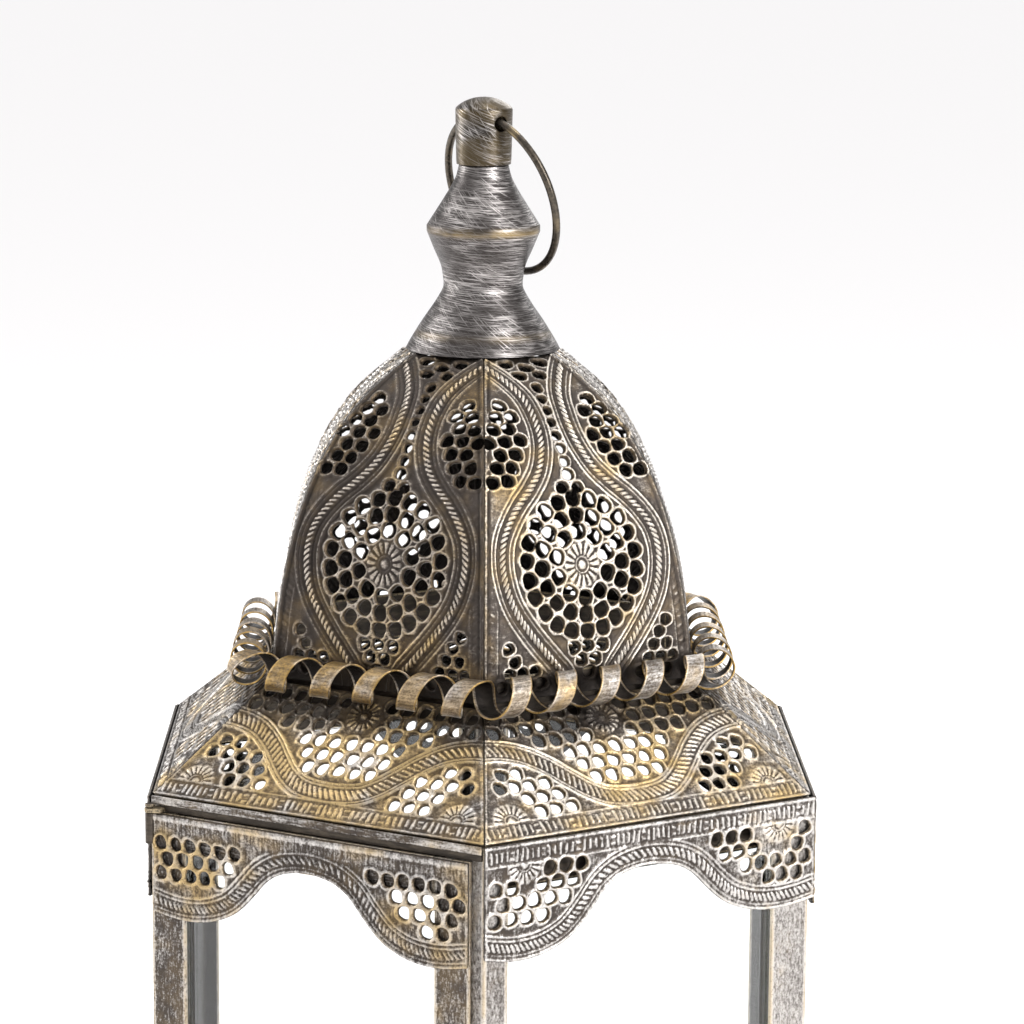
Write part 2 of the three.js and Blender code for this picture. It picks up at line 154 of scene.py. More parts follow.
# ---- materials ----
class Nodes:
    """Small helper that adds and joins the shader nodes of a material or a world."""

    def __init__(self, owner, shader="Principled BSDF"):
        owner.use_nodes = True
        self.owner = owner
        self.tree = owner.node_tree
        self.shader = self.tree.nodes[shader]

    def feed(self, node, inputs):
        """Joins each input to the socket given for it, or sets it to the plain value given."""
        for key, value in inputs.items():
            if isinstance(value, bpy.types.NodeSocket):
                self.tree.links.new(value, node.inputs[key])
            else:
                node.inputs[key].default_value = value
        return node

    def add(self, kind, inputs=None, **settings):
        node = self.tree.nodes.new(kind)
        for key, value in settings.items():
            setattr(node, key, value)
        return self.feed(node, inputs or {})

    def math(self, operation, a, b):
        return self.add("ShaderNodeMath", {0: a, 1: b}, operation=operation).outputs[0]

    def times(self, a, b):
        return self.math("MULTIPLY", a, b)

    def plus(self, a, b):
        return self.math("ADD", a, b)

    def larger(self, a, b):
        return self.math("MAXIMUM", a, b)

    def swing(self, noise, amount):
        """A noise's way from its middle, times amount."""
        return self.times(self.math("SUBTRACT", noise, 0.5), amount)

    def step(self, value, start, end, least=0.0, most=1.0):
        """Rises smoothly from least to most as value goes from start to end."""
        inputs = {"Value": value, "From Min": start, "From Max": end, "To Min": least, "To Max": most}
        return self.add("ShaderNodeMapRange", inputs, interpolation_type="SMOOTHSTEP").outputs[0]

    def mix(self, share, a, b):
        return self.add("ShaderNodeMix", {0: share, 6: a, 7: b}, data_type="RGBA").outputs[2]

    def noise(self, scale, detail=3.0, roughness=0.55, coords="Object", turn=(0, 0, 0)):
        """Noise with scale waves to the millimetre, in one number or one for each axis once it's turned.

        A random shift makes it different on each object.
        """
        scales = scale if isinstance(scale, tuple) else (scale, scale, scale)
        unit = MM if coords == "Object" else 1.0
        source = self.add("ShaderNodeTexCoord").outputs[coords]
        inputs = {"Vector": source, "Scale": tuple(unit / s for s in scales), "Rotation": turn}
        placed = self.add("ShaderNodeMapping", inputs, vector_type="TEXTURE").outputs[0]
        shift = self.times(self.add("ShaderNodeObjectInfo").outputs["Random"], 37.0)
        placed = self.add("ShaderNodeVectorMath", {0: placed, 1: shift}, operation="ADD").outputs[0]
        inputs = {"Vector": placed, "Scale": 1.0, "Detail": detail, "Roughness": roughness}
        return self.add("ShaderNodeTexNoise", inputs).outputs["Fac"]

    def attribute(self, name):
        return self.add("ShaderNodeAttribute", attribute_name=name).outputs["Fac"]

    def finish(self, color, roughness, height, depth, strength=1.0, metallic=0.0):
        """Joins the shader's inputs and returns the material. depth is the bump's reach in metres."""
        bump = self.add("ShaderNodeBump", {"Height": height, "Distance": depth, "Strength": strength})
        self.feed(self.shader, {"Base Color": color, "Roughness": roughness, "Metallic": metallic,
                                "Normal": bump.outputs["Normal"]})
        return self.owner


BRIGHT = (0.63, 0.60, 0.57, 1)
WARM_SILVER = (0.63, 0.575, 0.505, 1)
PEWTER = (0.50, 0.445, 0.385, 1)
BRASS = (0.50, 0.365, 0.18, 1)
RICH_BRASS = (0.47, 0.305, 0.105, 1)
DARK = (0.070, 0.058, 0.050, 1)
DARK_WARM = (0.118, 0.090, 0.062, 1)
DARK_GOLD = (0.19, 0.125, 0.052, 1)
# Near black, for painted shade and for soot.
SOOT_AND_SHADE = (0.012, 0.010, 0.009, 1)


def antique_metal(name, golden, reach, marks_scale, coords="UV", warmth=0.5, lift=0.5, rough=1.0,
                  spread=0.37, silver=BRIGHT, brass=BRASS, catch=(0.12, 0.62)):
    """Dark metal with silver and brass dry-brushed over its raised parts.

    golden is how much of the brushing is brass, reach how far the brush got into the flat parts and
    lift how much more it left on the raised ones. marks_scale stretches the brush marks, rough is how
    strong they are and spread how softly they end. catch is the relief at which the brush starts to
    catch, and at which it catches fully, and warmth is how brown the dark ground is. The mesh's relief
    (in mm, below zero on the inner side), gilt and soot attributes steer it all. The inner side and the
    soot attribute turn the ground near black: painted shade inside the lantern and in the hollows, and
    painted shade with real soot and patina under the coil.
    """
    m = Nodes(bpy.data.materials.new(name))
    relief = m.attribute("relief")
    soot_and_shade = m.attribute("soot_and_shade")
    raised = m.step(relief, *catch)
    # inside marks the inner side (relief -1), which is painted near black below as shade.
    inside = m.step(relief, -0.9, -0.7, 1.0, 0.0)
    marks = m.noise(marks_scale, 6.0, 0.7, coords)
    fine = m.noise(1.5, 4.0, 0.7, coords)
    patches = m.noise(0.035, 2.0, coords=coords)
    tone = m.noise(0.13, coords=coords)

    worn = m.plus(m.times(raised, lift), reach)
    for noise, amount in ((marks, 1.9 * rough), (fine, 1.5 * rough), (patches, 0.9)):
        worn = m.plus(worn, m.swing(noise, amount))
    worn = m.math("SUBTRACT", worn, m.times(inside, 2.0))
    worn = m.math("SUBTRACT", worn, m.times(soot_and_shade, 0.9))
    brushed = m.step(worn, 0.49 - spread, 0.49 + spread)

    hue = m.plus(m.plus(m.swing(patches, 1.6), m.swing(tone, 1.0)), golden)
    edging = m.times(m.attribute("gilt"), m.step(tone, 0.3, 0.55, 0.35, 1.0))
    gold = m.larger(m.step(hue, 0.26, 0.80), edging)
    ground = m.mix(m.step(tone, 0.66 - warmth * 0.4, 0.94 - warmth * 0.4), DARK, DARK_WARM)
    ground = m.mix(m.times(gold, m.step(fine, 0.3, 0.8, 0.2, 0.75)), ground, DARK_GOLD)
    # Painted shade: the inner side and the soot attribute (painted shade with soot) darken the ground to
    # near black.
    sooty_and_shaded = m.larger(m.times(inside, 0.93), m.times(soot_and_shade, 0.85))
    ground = m.mix(sooty_and_shaded, ground, SOOT_AND_SHADE)
    color = m.mix(brushed, ground, m.mix(gold, silver, brass))
    roughness = m.plus(m.swing(fine, 0.35), m.step(brushed, 0, 1, 0.42, 0.30))
    dents = m.noise(0.28, 2.0, coords=coords)
    height = m.plus(m.times(marks, 0.6), m.times(fine, 0.6))
    height = m.plus(height, m.times(dents, 2.2))
    return m.finish(color, roughness, height, 0.00026, 0.9, 0.88)


def turned_metal(name, golden, slant, ground, bare=0.0):
    """Dark turned metal with fine bright scratches round it, and brass where it stands proud.

    golden is how much brass is left in patches, slant how steeply the scratches run down to the right
    on the door's side, and bare how much of the dark ground they leave free.
    """
    m = Nodes(bpy.data.materials.new(name))
    lines = m.noise((0.13, 0.13, 3.6), 4.0, 0.65, turn=(0, slant, 0))
    strokes = m.noise((0.13, 0.13, 3.2), 4.0, 0.65, turn=(0, slant + 0.6, 0))
    fine = m.noise(2.2, 3.0, 0.6)
    patches = m.noise(0.09, 2.0)
    level, steep = m.step(lines, 0.43 + bare, 0.70 + bare), m.step(strokes, 0.50 + bare, 0.74 + bare)
    scratched = m.larger(level, steep)
    scratched = m.times(scratched, m.step(patches, 0.36, 0.62, 0.25, 1.0))
    scratched = m.times(scratched, m.attribute("relief"))
    color = m.mix(scratched, ground, (0.70, 0.66, 0.64, 1))
    rubbed = m.times(m.attribute("gilt"), m.step(patches, 0.38, 0.56, 0.25, 1.0))
    mottled = m.times(m.step(patches, 0.40, 0.62, 1.0, 0.0), golden)
    color = m.mix(m.larger(rubbed, mottled), color, (0.34, 0.245, 0.11, 1))
    height = m.plus(m.times(lines, 0.7), m.times(fine, 0.5))
    return m.finish(color, m.step(fine, 0.25, 0.75, 0.29, 0.46), height, 0.00014, 0.9, 0.92)


def lacquered_steel():
    """Nearly black lacquered steel, with a little rubbed through."""
    m = Nodes(bpy.data.materials.new("dark_steel"))
    marks = m.noise((0.15, 0.15, 0.8), 4.0, 0.6)
    fine = m.noise(1.8)
    raised = m.step(m.attribute("relief"), 0.5, 1.0)
    color = m.mix(m.step(marks, 0.4, 0.75), (0.055, 0.046, 0.038, 1), (0.12, 0.098, 0.075, 1))
    rubbed = m.times(raised, m.step(fine, 0.3, 0.6))
    color = m.mix(rubbed, color, (0.42, 0.34, 0.22, 1))
    return m.finish(color, m.step(fine, 0.2, 0.8, 0.34, 0.52), fine, 0.0001, metallic=0.8)


def wire_metal():
    """Dark bronze wire, rubbed to brass in places."""
    m = Nodes(bpy.data.materials.new("dark_bronze_wire"))
    marks = m.noise(0.9)
    rub = m.noise(0.07, 2.0)
    color = m.mix(m.step(marks, 0.35, 0.7), (0.06, 0.052, 0.043, 1), (0.115, 0.096, 0.075, 1))
    color = m.mix(m.step(rub, 0.58, 0.74), color, (0.30, 0.23, 0.13, 1))
    return m.finish(color, m.step(marks, 0.2, 0.8, 0.24, 0.40), marks, 0.00006, metallic=0.9)


def clear_glass():
    """Clear glass, greener where the eye meets it at a grazing angle."""
    m = Nodes(bpy.data.materials.new("clear_glass"))
    grazing = m.add("ShaderNodeLayerWeight", {"Blend": 0.35}).outputs["Facing"]
    tint = m.mix(m.step(grazing, 0.35, 1.0), (0.985, 0.995, 0.992, 1), (0.34, 0.46, 0.45, 1))
    m.feed(m.shader, {"Transmission Weight": 1.0, "IOR": 1.46})
    ripple = m.noise(0.012, 1.0)
    return m.finish(tint, m.step(ripple, 0.3, 0.7, 0.0, 0.02), ripple, 0.0003, 0.4)


# ---- mesh helpers ----
def at(x=0, y=0, z=0, aim=None):
    """A place in millimetres, with the mesh's z axis turned to aim."""
    place = Matrix.Translation(Vector((x, y, z)) * MM)
    return place @ Vector(aim).to_track_quat("Z", "Y").to_matrix().to_4x4() if aim else place


def add_piece(name, mesh, material, body, nodes=(), place=None):
    """Puts a piece in its place, in the stead of the CAD nodes, and lets it ride on its body."""
    piece = bpy.data.objects.new(name, mesh)
    bpy.context.scene.collection.objects.link(piece)
    if not mesh.materials:
        mesh.materials.append(material)
    if place is not None:
        piece.matrix_world = place
    if nodes:
        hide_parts(*nodes)
    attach(piece, body)
    return piece


def build_mesh(name, points, faces, uv=None, relief=None, gilt=None, soot_and_shade=None):
    """A smooth mesh from points in metres; uv, relief, gilt and soot are one value for each point. The soot
    values hold painted shade as well as soot.
    """
    mesh = bpy.data.meshes.new(name)
    mesh.from_pydata(points.tolist(), [], faces)
    mesh.polygons.foreach_set("use_smooth", [True] * len(mesh.polygons))
    corner = np.zeros(len(mesh.loops), int)
    mesh.loops.foreach_get("vertex_index", corner)
    if uv is not None:
        layer = mesh.uv_layers.new(name="UVMap")
        layer.data.foreach_set("uv", np.asarray(uv, float)[corner].ravel())
    for attribute, given in (("relief", relief), ("gilt", gilt), ("soot_and_shade", soot_and_shade)):
        values = np.zeros(len(points)) if given is None else np.asarray(given, float)
        layer = mesh.attributes.new(attribute, "FLOAT", "POINT")
        layer.data.foreach_set("value", values)
    mesh.update()
    return mesh


def marching_sheet(solid):
    """The part of a grid where solid > 0, cut along the line where it is 0.

    Returns the polygons as index tuples, the kept grid nodes, and each cut point as a node pair with
    the share of the way between them.
    """
    rows, columns = solid.shape
    inside = solid > 0
    number = np.full((rows, columns), -1)
    number[inside] = np.arange(inside.sum())
    count = int(inside.sum())
    across = np.full((rows, columns - 1), -1)
    cut = inside[:, :-1] != inside[:, 1:]
    across[cut] = count + np.arange(cut.sum())
    count += int(cut.sum())
    up = np.full((rows - 1, columns), -1)
    rise = inside[:-1, :] != inside[1:, :]
    up[rise] = count + np.arange(rise.sum())

    pairs = []
    for crossed, next_row, next_column in ((cut, 0, 1), (rise, 1, 0)):
        i, j = np.nonzero(crossed)
        k, l = i + next_row, j + next_column
        pairs.append((i, j, k, l, solid[i, j] / (solid[i, j] - solid[k, l])))

    ring = np.stack(
        [
            number[:-1, :-1], across[:-1, :], number[:-1, 1:], up[:, 1:],
            number[1:, 1:], across[1:, :], number[1:, :-1], up[:, :-1],
        ],
        axis=-1,
    ).reshape(-1, 8)
    ring = ring[(ring >= 0).sum(1) >= 3]
    polygons = [tuple(v for v in row if v >= 0) for row in ring.tolist()]
    return polygons, np.nonzero(inside), pairs


def open_edges(polygons):
    """The directed edges that only one polygon uses."""
    heads = {}
    for polygon in polygons:
        for a, b in zip(polygon, polygon[1:] + polygon[:1]):
            if (b, a) in heads:
                del heads[(b, a)]
            else:
                heads[(a, b)] = True
    return list(heads)


def sheet_mesh(name, us, vs, pattern, profile, thickness):
    """An embossed, pierced sheet. us and vs are the grid lines, pattern(U, V) gives its fields, and
    profile(v) gives each station's outward distance, height and outward direction."""
    u, v = np.meshgrid(us, vs)
    solid, relief, gilt, soot_and_shade = pattern(u, v)
    polygons, kept, pairs = marching_sheet(solid)

    def gather(field):
        parts = [field[kept]]
        for i, j, k, l, share in pairs:
            parts.append(field[i, j] * (1 - share) + field[k, l] * share)
        return np.concatenate(parts)

    flat_u, flat_v, height = gather(u), gather(v), gather(relief)
    away, rise, out_away, out_rise = profile(flat_v)

    def layer(offset):
        reach = height + offset
        return np.column_stack([flat_u, -(away + reach * out_away), rise + reach * out_rise]) * MM

    points = np.vstack([layer(0.0), layer(-thickness)])
    count = len(flat_u)
    faces = list(polygons)
    faces += [tuple(count + k for k in reversed(polygon)) for polygon in polygons]
    faces += [(b, a, count + a, count + b) for a, b in open_edges(polygons)]
    uv = np.column_stack([flat_u, flat_v])
    # The back layer gets relief -1, which the metals paint near black: painted shade on the inner side.
    back = np.zeros(count)
    return build_mesh(name, points, faces, np.vstack([uv, uv + 40.0]), np.concatenate([height, back - 1.0]),
                      np.concatenate([gather(gilt), back]), np.concatenate([gather(soot_and_shade), back]))


# ---- embossing, in millimetres on the flat sheet ----
def ridge(distance, at, width=0.42):
    return np.exp(-(((distance - at) / width) ** 2))


def smooth(value, start, end):
    t = np.clip((value - start) / (end - start), 0, 1)
    return t * t * (3 - 2 * t)


def curve_through(points, per_piece=8):
    """A smooth open curve through a few points (Catmull-Rom)."""
    p = np.array(points, float)
    p = np.vstack([2 * p[0] - p[1], p, 2 * p[-1] - p[-2]])
    t = np.linspace(0, 1, per_piece, endpoint=False)[:, None]
    pieces = []
    for a, b, c, d in zip(p, p[1:], p[2:], p[3:]):
        square, cube = 2 * a - 5 * b + 4 * c - d, 3 * b - a - 3 * c + d
        pieces.append(0.5 * (2 * b + (c - a) * t + square * t**2 + cube * t**3))
    return np.vstack([*pieces, p[-2:-1]])


def along_curve(u, v, curve):
    """Signed distance from a curve (positive on its left) and the length along it."""
    best = np.full(u.shape, 1e9)
    signed = np.zeros(u.shape)
    length = np.zeros(u.shape)
    start = 0.0
    for (ax, ay), (bx, by) in zip(curve, curve[1:]):
        dx, dy = bx - ax, by - ay
        size = math.hypot(dx, dy)
        t = np.clip(((u - ax) * dx + (v - ay) * dy) / size**2, 0, 1)
        off = (u - ax - t * dx) ** 2 + (v - ay - t * dy) ** 2
        nearer = off < best
        side = np.where(dx * (v - ay) - dy * (u - ax) >= 0, 1.0, -1.0)
        best = np.where(nearer, off, best)
        signed = np.where(nearer, side * np.sqrt(off), signed)
        length = np.where(nearer, start + t * size, length)
        start += size
    return signed, length


def bars(distance, length, half_width, pitch, slant=0.0, height=0.45):
    """Short bars across a band."""
    wave = 0.5 + 0.5 * np.cos(2 * math.pi * (length + slant * distance) / pitch)
    return height * smooth(wave, 0.25, 0.8) * smooth(half_width - np.abs(distance), -0.15, 0.35)


def rope(distance, length, half_width, pitch, slant=0.9, height=0.75):
    """A twisted rope: a rounded cord cut by slanted grooves."""
    cord = np.sqrt(np.clip(1 - (distance / half_width) ** 2, 0, 1))
    wave = 0.5 + 0.5 * np.cos(2 * math.pi * (length + slant * distance) / pitch)
    return height * cord * (0.12 + 0.88 * smooth(wave, 0.15, 0.7))


def rosette(u, v, middle, radius, petals, stretch=1.0, height=0.6):
    """The relief of a flower of petals round a boss."""
    x, y = u - middle[0], (v - middle[1]) / stretch
    r = np.hypot(x, y) / radius
    angle = np.arctan2(y, x)
    petal = np.abs(np.cos(petals * angle / 2))
    edge = 0.93 + 0.07 * petal
    leaf = smooth(petal, 0.25, 0.75) * smooth(r, 0.36, 0.5) * smooth(edge - r, 0.0, 0.12)
    tip = 0.55 * ridge(r, edge - 0.05, 0.07)
    boss = np.clip(1 - (r / 0.24) ** 2, 0, 1) ** 0.5
    collar = 0.7 * ridge(r, 0.34, 0.05)
    return height * np.maximum.reduce([leaf, tip, boss, collar])


class Sheet:
    """A flat sheet being pierced and embossed."""

    def __init__(self, u, v, outline):
        self.u, self.v = u, v
        self.solid = outline.copy()
        self.relief = np.zeros(u.shape)
        self.gilt = np.zeros(u.shape)
        self.dip = np.zeros(u.shape)
        self.chance = random.Random(len(u) * 7 + 3)

    def emboss(self, height, where=1.0):
        self.relief = np.maximum(self.relief, height * where)

    def pierce(self, x, y, width, height, turn=0.0, rim=0.42, crest=0.42):
        """A rounded cell, a little uneven, with a raised rim."""
        chance = self.chance
        x, y = x + chance.uniform(-0.22, 0.22), y + chance.uniform(-0.22, 0.22)
        width, height = width * chance.uniform(0.92, 1.06), height * chance.uniform(0.92, 1.06)
        turn += chance.uniform(-0.3, 0.3)
        wobble, phase = chance.uniform(0.02, 0.07), chance.uniform(0, 6.28)
        reach = max(width, height) / 2 + 1.6
        rows = np.nonzero(np.abs(self.v[:, 0] - y) < reach)[0]
        columns = np.nonzero(np.abs(self.u[0] - x) < reach)[0]
        if not len(rows) or not len(columns):
            return
        window = np.ix_(rows, columns)
        dx, dy = self.u[window] - x, self.v[window] - y
        c, s = math.cos(turn), math.sin(turn)
        a, b = (dx * c + dy * s) / (width / 2), (-dx * s + dy * c) / (height / 2)
        radius = (np.abs(a) ** 2.4 + np.abs(b) ** 2.4) ** (1 / 2.4)
        radius = radius * (1 + wobble * np.cos(3 * np.arctan2(b, a) + phase))
        away = (radius - 1) * min(width, height) / 2
        self.solid[window] = np.minimum(self.solid[window], away)
        self.relief[window] = np.maximum(self.relief[window], rim * ridge(away, 0.55, crest))
        self.dip[window] = np.maximum(self.dip[window], smooth(0.42 - away, 0, 0.5))
        self.gilt[window] = np.maximum(self.gilt[window], 0.8 * smooth(0.5 - away, 0, 0.3))

    def fields(self, soot_and_shade=0.0, hollows=1.0):
        """The finished fields. Painted shade gathers in the hollows beside raised lines, and painted shade
        with soot goes wherever it's given.
        """
        relief = self.relief - 0.5 * self.dip
        # Painted shade in the hollows beside raised lines.
        hollow_shade = hollows * np.clip(1.9 * (blurred(self.relief, 3) - self.relief) - 0.05, 0, 0.8)
        return self.solid, relief, self.gilt, np.clip(np.maximum(hollow_shade, soot_and_shade), 0, 1)

    def lattice(self, allowed, across, down, width, height, origin=(0.0, 0.0), rim=0.42, crest=0.42):
        """Staggered cells wherever allowed(x, y) is true."""
        top, bottom = self.v.max(), self.v.min()
        rows = range(int((bottom - origin[1]) / down) - 1, int((top - origin[1]) / down) + 2)
        for row in rows:
            y = origin[1] + row * down
            start = origin[0] + (row % 2) * across / 2
            for column in range(-14, 15):
                x = start + column * across
                if allowed(x, y):
                    self.pierce(x, y, width, height, rim=rim, crest=crest)


def blurred(field, reach):
    """A field averaged over a square of cells, twice over each way."""
    for axis in (0, 1, 0, 1):
        field = sum(np.roll(field, k, axis) for k in range(-reach, reach + 1)) / (2 * reach + 1)
    return field


def value_at(u, v, field):
    """Looks a field up at one point of the sheet's grid."""
    us, vs = u[0], v[:, 0]

    def look(x, y):
        if not (us[0] <= x <= us[-1] and vs[0] <= y <= vs[-1]):
            return -9.0
        return field[int(round((y - vs[0]) / (vs[1] - vs[0]))), int(round((x - us[0]) / (us[1] - us[0])))]

    return look


def bar_border(distance, along, half_width, pitch, height=0.5):
    """Upright bars in groups of uneven length, with a pair of level bars between the groups."""
    group = 6 * pitch
    place = np.mod(along + 0.35 * pitch * np.sin(along / 7.3), group)
    reach = half_width * (0.86 + 0.14 * np.sin(along * 0.83 + 1.7 * np.sin(along * 0.21)))
    upright = bars(distance, place, reach, pitch, 0.12 * np.sin(along / 3.1), height)
    level_zone = smooth(place, 4.5 * pitch, 4.7 * pitch) * smooth(5.6 * pitch - place, 0, 0.2 * pitch)
    level = height * ridge(np.abs(distance), 0.5 * half_width, 0.42)
    return upright * (1 - level_zone) + level * level_zone


# ---- dome panels ----
SHEET = 0.7  # how thick the pierced sheets are


def dome_edge(steps=240):
    """The dome's profile as (outward distance, height) of the middle of a panel."""
    foot = np.array([DOME_FOOT, DOME_FOOT_Z + 0.05])
    top = np.array([23.4 * COS30, DOME_TOP_Z])
    rise = top[1] - foot[1]
    reach = foot[0] - top[0]
    first = foot + [-0.075 * reach, 0.492 * rise]
    second = foot + [-0.308 * reach, 0.807 * rise]
    t = np.linspace(0, 1, steps)[:, None]
    return (1 - t) ** 3 * foot + 3 * (1 - t) ** 2 * t * first + 3 * (1 - t) * t**2 * second + t**3 * top


def profile_of(points):
    """Turns a profile into a function of the length along it."""
    step = np.diff(points, axis=0)
    size = np.hypot(step[:, 0], step[:, 1])
    length = np.concatenate([[0], np.cumsum(size)])
    way = np.gradient(points, axis=0)
    way /= np.hypot(way[:, 0], way[:, 1])[:, None]

    def profile(v):
        away = np.interp(v, length, points[:, 0])
        rise = np.interp(v, length, points[:, 1])
        out_away = np.interp(v, length, way[:, 1])
        out_rise = -np.interp(v, length, way[:, 0])
        return away, rise, out_away, out_rise

    return profile, length[-1]


DOME_BAND = [(7.2, -2), (8.2, 5), (12, 10), (16.2, 15), (20, 20), (23.2, 25), (25.4, 30.5), (26.5, 38),
             (25.4, 45), (22.4, 50.5), (18.3, 55.5), (13.6, 60), (9.4, 65), (6.8, 70.5), (5.5, 76),
             (5.3, 82), (6.2, 89), (8.8, 95), (12.2, 100.5), (16.5, 106)]
DOME_RIDGES = [(-2.35, 0.34, 0.42), (-3.6, 0.40, 0.62), (2.35, 0.34, 0.42), (3.6, 0.40, 0.55)]
DOME_RINGS = [(10, 8.9, 9.7, 0.5), (16, 13.55, 14.4, 0.0), (22, 18.35, 19.25, 0.5)]


def dome_pattern(profile, length):
    """A rope in an onion-shaped line round rings of cells, with more cells outside it."""

    def pattern(u, v):
        half = profile(v)[0] * TAN30 - 0.15
        outline = np.minimum.reduce([half - np.abs(u), v - 0.1, length - 0.1 - v])
        sheet = Sheet(u, v, outline)
        away, run = along_curve(np.abs(u), v, curve_through(DOME_BAND))
        away = -away
        in_band = smooth(5.2 - np.abs(away), 0, 0.3)
        sheet.emboss(rope(away, run, 1.08, 1.75, 0.95, 0.98))
        for where, width, height in DOME_RIDGES:
            sheet.emboss(height * ridge(away, where, width), in_band)
        side = half - np.abs(u)
        sheet.emboss(0.3 * ridge(side, 0.5, 0.5))
        strip_zone = smooth(v, 6, 9) * smooth(54 - v, 0, 3) * smooth(away, 4.6, 5.2)
        uneven = 0.5 + 0.5 * np.sin(v * 1.3 + 2 * np.sin(v * 0.37))
        sheet.emboss(bars(side - 2.5, v, 1.0, 2.3, 0.5, 0.34), strip_zone * uneven)
        sheet.emboss(0.34 * ridge(side, 4.3, 0.35), strip_zone)

        middle = (0.0, 36.8)
        sheet.emboss(rosette(u, v, middle, 6.2, 16, 1.12))
        for count, across, up, offset in DOME_RINGS:
            for k in range(count):
                angle = 2 * math.pi * (k + offset) / count
                x, y = middle[0] + across * math.cos(angle), middle[1] + up * math.sin(angle)
                sheet.pierce(x, y, 4.4, 4.35, angle, 0.7)
        spread = np.hypot(u / 20.9, (v - middle[1]) / 21.9)
        scallop = 1 + 0.028 * np.cos(22 * np.arctan2((v - middle[1]) / 21.9, u / 20.9) + math.pi)
        sheet.emboss(0.45 * ridge((spread - scallop) * 21, 0.0, 0.4))
        inner_look = value_at(u, v, away)
        edge_look = value_at(u, v, side)

        def cusp(x, y):
            beyond = math.hypot((x - middle[0]) / 18.4, (y - middle[1]) / 19.3) > 1.17
            return beyond and inner_look(x, y) < -5.5 and abs(x) < 16

        sheet.lattice(lambda x, y: cusp(x, y) and 3 < y < 30, 4.7, 3.75, 3.6, 3.3, (0, 13.3), 0.55)
        sheet.lattice(lambda x, y: cusp(x, y) and 45 < y < 66, 4.9, 3.8, 3.6, 3.3, (2.45, 59.4), 0.55)
        for k, size in enumerate((3.0, 2.8, 2.6, 2.4, 2.4, 2.6, 3.0)):
            sheet.pierce(0, 67.4 + 4.15 * k, size * 0.95, size)
        for x, y in ((-3.4, 97.2), (3.4, 97.2), (0, 100.2), (-5.6, 102.4), (5.6, 102.4)):
            sheet.pierce(x, y, 4.0, 3.0)

        def shoulder(x, y):
            return inner_look(x, y) > 6.2 and edge_look(x, y) > 1.7 and 48 < y < 98

        sheet.lattice(shoulder, 5.0, 4.0, 4.1, 3.7, (2.4, 75), 0.55)

        def corner(x, y):
            return inner_look(x, y) > 5.8 and edge_look(x, y) > 6.0 and 2 < y < 27

        sheet.lattice(corner, 4.3, 3.6, 3.2, 2.9, (1.1, 4), 0.5)
        # Painted shade with soot at the foot under the coil, and a painted shadow line beside each seam
        # where the next panel overlaps.
        by_coil = smooth(9.5 - v, 0, 5)
        seam_shadow = 0.75 * ridge(side, 1.5, 0.5) * smooth(v, 6, 12)
        return sheet.fields(np.maximum(by_coil, seam_shadow))

    return pattern


# ---- shoulder and base panels ----
SWAG = [(-60, 30.6), (-46, 30.2), (-38, 29.6), (-31, 27.2), (-25, 22.8), (-20, 17.7), (-15, 13.0),
        (-9, 9.7), (0, 8.7), (9, 9.7), (15, 13.0), (20, 17.7), (25, 22.8), (31, 27.2), (38, 29.6),
        (46, 30.2), (60, 30.6)]


def swag_pattern(profile, length, sooty_and_shaded=0.0):
    """A swag between two fields of cells, over a border of bars. The sooty share darkens the top with
    painted shade and soot.
    """

    def pattern(u, v):
        half = profile(v)[0] * TAN30 - 0.15
        outline = np.minimum.reduce([half - np.abs(u), v - 0.05, length - 0.1 - v])
        sheet = Sheet(u, v, outline)
        away, run = along_curve(u, v, curve_through(SWAG))
        side = half - np.abs(u)
        above_border = smooth(v, 5.6, 6.0)
        sheet.emboss(bars(away, run, 1.75, 1.85, 0.6, 0.6), above_border)
        for where, width, height in ((3.6, 0.42, 0.85), (2.5, 0.36, 0.6)):
            sheet.emboss(height * ridge(np.abs(away), where, width), above_border)
        sheet.emboss(0.5 * ridge(v, 5.9, 0.32))
        sheet.emboss(0.5 * ridge(v, 0.5, 0.5))
        sheet.emboss(bar_border(v - 3.2, u, 1.95, 1.9))
        sheet.emboss(0.4 * ridge(side, 0.5, 0.4))

        top_middle = (0.0, 36.2)
        sheet.emboss(rosette(u, v, top_middle, 5.6, 16))
        for sign in (-1, 1):
            sheet.emboss(rosette(u, v, (sign * 43.5, 6.2), 6.2, 18), above_border)
        swag_look = value_at(u, v, away)
        side_look = value_at(u, v, side)

        def upper(x, y):
            clear = math.hypot(x - top_middle[0], y - top_middle[1]) > 7.6
            return swag_look(x, y) > 5.5 and side_look(x, y) > 2.8 and clear and y < length - 2.2

        def lower(x, y):
            clear = min(math.hypot(x - 43.5, y - 6.2), math.hypot(x + 43.5, y - 6.2)) > 8.2
            return swag_look(x, y) < -5.4 and side_look(x, y) > 2.8 and y > 7.8 and clear

        sheet.lattice(upper, 5.2, 4.7, 3.5, 4.0, (0, 17.0), 0.6, 0.6)
        sheet.lattice(lower, 5.0, 4.4, 3.4, 3.65, (2.2, 8.6), 0.6, 0.6)
        # Painted shade with soot at the top, under the coil.
        return sheet.fields(sooty_and_shaded * smooth(v, 27, 36), 0.5)

    return pattern


# ---- valances ----
def valance_edge(half, rise=0.0, left=1.0, right=1.0, shift=0.0):
    """The hanging lower edge, from left to right: a lobe at each end and an arch in the middle.

    rise lifts the whole edge, left and right scale how deep each lobe hangs below the arch, and shift
    moves the arch sideways.
    """
    lobe = [(1.03, 19.7), (0.88, 21.3), (0.75, 21.6), (0.62, 20.5), (0.5, 17.8), (0.42, 14.5),
            (0.34, 9.8), (0.26, 4.8), (0.17, 1.7), (0.08, 0.4), (0.0, 0.0)]
    apex = 12.5 - rise
    right_side = [(x * half + shift * (1 - x), -(apex + y * right)) for x, y in lobe]
    left_side = [(-x * half + shift * (1 - x), -(apex + y * left)) for x, y in lobe]
    return curve_through(left_side + right_side[::-1][1:], 5)


